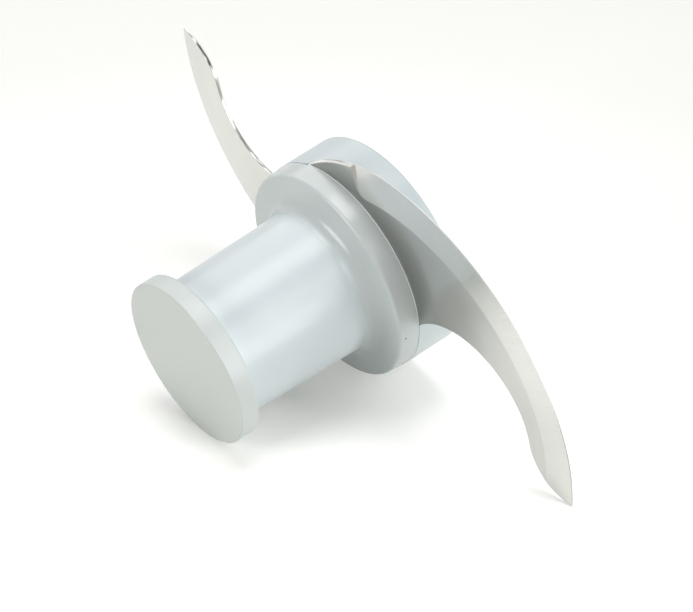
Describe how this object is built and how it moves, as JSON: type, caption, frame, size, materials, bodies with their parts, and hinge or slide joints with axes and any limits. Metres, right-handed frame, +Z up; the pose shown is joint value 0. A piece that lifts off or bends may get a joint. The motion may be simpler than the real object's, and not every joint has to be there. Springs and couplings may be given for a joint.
{
  "type": "food processor blade",
  "caption": "Two-arm sickle cutting blade for a food processor: ground steel arms at two heights on a moulded plastic hub that drops over a keyed drive spindle.",
  "frame": {"origin": "on the hub's axis, in the plane of the base's flat end, which the cutter stands on", "axes": "+Z up the hub's axis towards the cap; X runs through the two blade tips, with the upper blade's tip at -X"},
  "size_m": [0.1726, 0.0948, 0.0648],
  "materials": {
    "moulded_plastic": "pale blue-grey moulding with a soft sheen",
    "blade_steel": "stainless sheet with a ground bevel"
  },
  "bodies": {
    "root": {"cap": "moulded_plastic", "hub": "moulded_plastic", "blade_upper": "blade_steel", "base": "moulded_plastic", "blade_lower": "blade_steel"}
  },
  "joints": []
}
